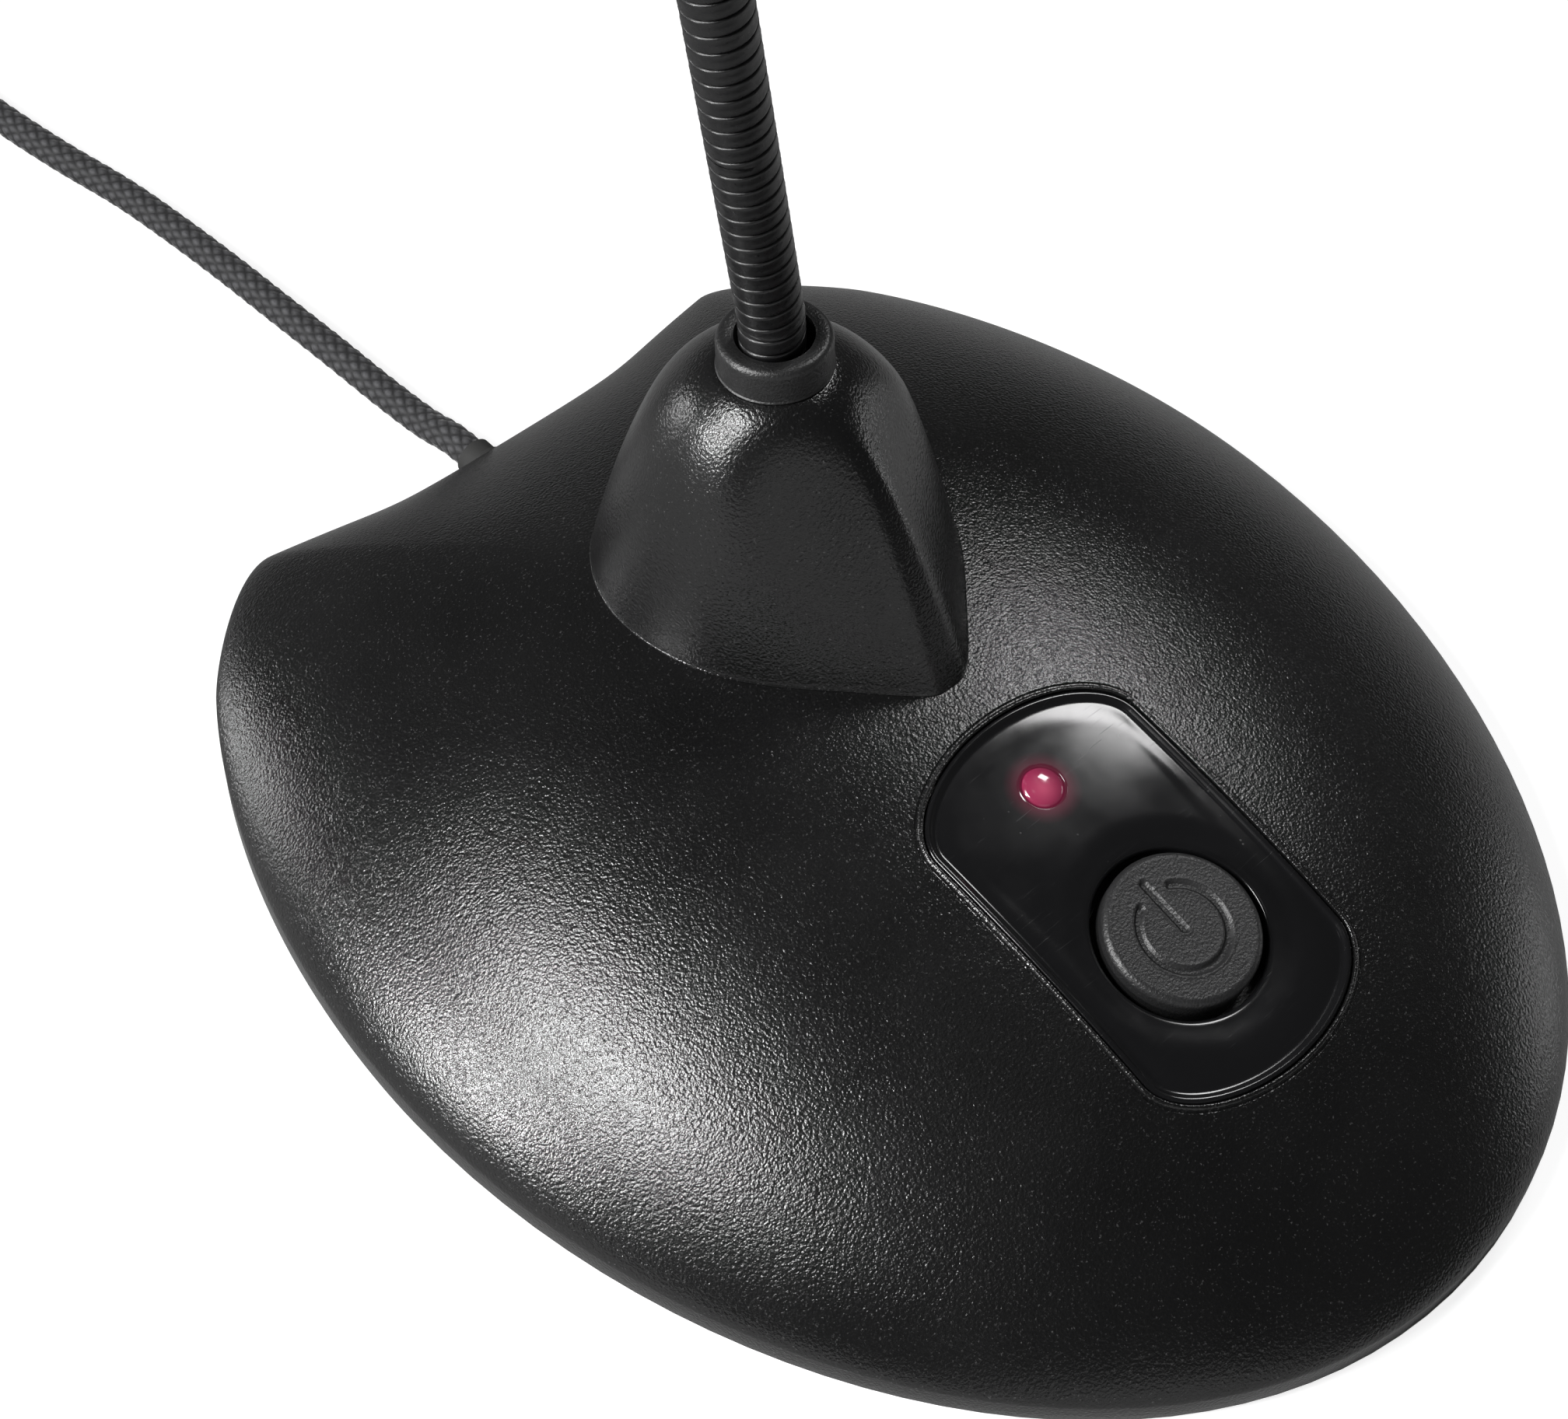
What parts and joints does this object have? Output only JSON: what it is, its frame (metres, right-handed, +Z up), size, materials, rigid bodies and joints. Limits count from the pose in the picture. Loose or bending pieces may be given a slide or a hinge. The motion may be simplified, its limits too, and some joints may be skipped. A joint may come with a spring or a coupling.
{
  "type": "gooseneck podium microphone",
  "caption": "Desk microphone on a domed weighted base with a glossy button panel, a prow-shaped turret, a bendable ribbed neck and a braided lead.",
  "frame": {"origin": "middle of the base's footprint box, at the table", "axes": "+Z up, -Y towards the user (the nose of the base), +X to the user's right"},
  "size_m": [0.1194, 0.281, 0.2763],
  "materials": {
    "base_black": "fine grained matt black",
    "turret_black": "satin black",
    "plate_black": "black painted sheet",
    "ballast_steel": "bare steel",
    "panel_gloss": "polished piano black",
    "lamp_red": "clear crimson lens",
    "white_plastic": "natural white",
    "dark_plastic": "moulded black",
    "board_green": "solder mask green",
    "brass": "turned",
    "zinc_steel": "zinc plated",
    "neck_black": "satin black over ribbed steel",
    "button_black": "fine grained matt black",
    "rubber_black": "matt",
    "braid_black": "woven black braid",
    "strap_black": "woven strap",
    "plug_metal": "nickel plated",
    "head_black": "satin black",
    "capsule_metal": "drawn can",
    "grille_black": "black slotted cap"
  },
  "bodies": {
    "base": {"base_shell": "base_black", "turret_cover": "turret_black", "collar_ring": "turret_black", "bottom_plate": "plate_black", "ballast_weight": "ballast_steel", "foot_1": "rubber_black", "foot_2": "rubber_black", "foot_3": "rubber_black", "foot_4": "rubber_black", "base_screw_1": "zinc_steel", "base_screw_2": "zinc_steel", "base_screw_3": "zinc_steel", "base_screw_4": "zinc_steel", "ballast_screw_1": "zinc_steel", "ballast_screw_2": "zinc_steel", "panel_insert": "panel_gloss", "lamp_lens": "lamp_red", "lamp_holder": "white_plastic", "switch_body": "dark_plastic", "circuit_board": "board_green", "board_post_1": "brass", "board_post_2": "brass", "board_screw_1": "zinc_steel", "board_screw_2": "zinc_steel", "neck_bush": "zinc_steel", "neck_nut": "brass", "neck_root": "neck_black", "cord_grommet": "rubber_black", "cord": "braid_black", "cord_coil": "braid_black", "cord_tie": "strap_black", "cord_tail": "braid_black", "plug_body": "dark_plastic", "plug_shell": "plug_metal", "plug_tongue": "white_plastic"},
    "button": {"button_cap": "button_black", "switch_plunger": "white_plastic"},
    "link_1": {"neck_link_1": "neck_black"},
    "link_2": {"neck_link_2": "neck_black"},
    "link_3": {"neck_link_3": "neck_black"},
    "link_4": {"neck_link_4": "neck_black"},
    "link_5": {"neck_link_5": "neck_black"},
    "link_6": {"neck_link_6": "neck_black"},
    "link_7": {"neck_link_7": "neck_black"},
    "head": {"neck_link_8": "neck_black", "neck_ferrule": "head_black", "mic_housing": "head_black", "mic_capsule": "capsule_metal", "capsule_holder": "rubber_black", "mic_grille": "grille_black"}
  },
  "joints": [
    {"name": "button_press", "type": "slide", "parent": "base", "child": "button", "axis": [0, 0.2164, -0.9763], "range_m": [0, 0.0015], "stiffness_N_per_m": 700},
    {"name": "neck_bend_1", "type": "hinge", "parent": "base", "child": "link_1", "pos_m": [-0.00219, 0.02498, 0.06612], "axis": [0.9877, 0.0055, 0.1562], "range_deg": [-18, 18]},
    {"name": "neck_sway_2", "type": "hinge", "parent": "link_1", "child": "link_2", "pos_m": [-0.00563, 0.02574, 0.08784], "axis": [0, 0.9994, -0.0349], "range_deg": [-18, 18]},
    {"name": "neck_bend_3", "type": "hinge", "parent": "link_2", "child": "link_3", "pos_m": [-0.00907, 0.0265, 0.10955], "axis": [0.989, -0.0008, 0.1478], "range_deg": [-18, 18]},
    {"name": "neck_sway_4", "type": "hinge", "parent": "link_3", "child": "link_4", "pos_m": [-0.01213, 0.02551, 0.13132], "axis": [0, 0.9963, 0.0854], "range_deg": [-18, 18]},
    {"name": "neck_bend_5", "type": "hinge", "parent": "link_4", "child": "link_5", "pos_m": [-0.01479, 0.02277, 0.15298], "axis": [0.9937, -0.0184, 0.1102], "range_deg": [-18, 18]},
    {"name": "neck_sway_6", "type": "hinge", "parent": "link_5", "child": "link_6", "pos_m": [-0.01704, 0.0183, 0.1744], "axis": [0, 0.9699, 0.2437], "range_deg": [-18, 18]},
    {"name": "neck_bend_7", "type": "hinge", "parent": "link_6", "child": "link_7", "pos_m": [-0.01888, 0.01211, 0.19544], "axis": [0.9972, -0.0239, 0.0705], "range_deg": [-18, 18]},
    {"name": "neck_sway_8", "type": "hinge", "parent": "link_7", "child": "head", "pos_m": [-0.02031, 0.00424, 0.21593], "axis": [0, 0.9184, 0.3956], "range_deg": [-18, 18]}
  ],
  "couplings": [
    {"joint": "neck_bend_3", "follows": "neck_bend_1", "ratio": 1},
    {"joint": "neck_sway_4", "follows": "neck_sway_2", "ratio": 1},
    {"joint": "neck_bend_5", "follows": "neck_bend_1", "ratio": 1},
    {"joint": "neck_sway_6", "follows": "neck_sway_2", "ratio": 1},
    {"joint": "neck_bend_7", "follows": "neck_bend_1", "ratio": 1},
    {"joint": "neck_sway_8", "follows": "neck_sway_2", "ratio": 1}
  ]
}
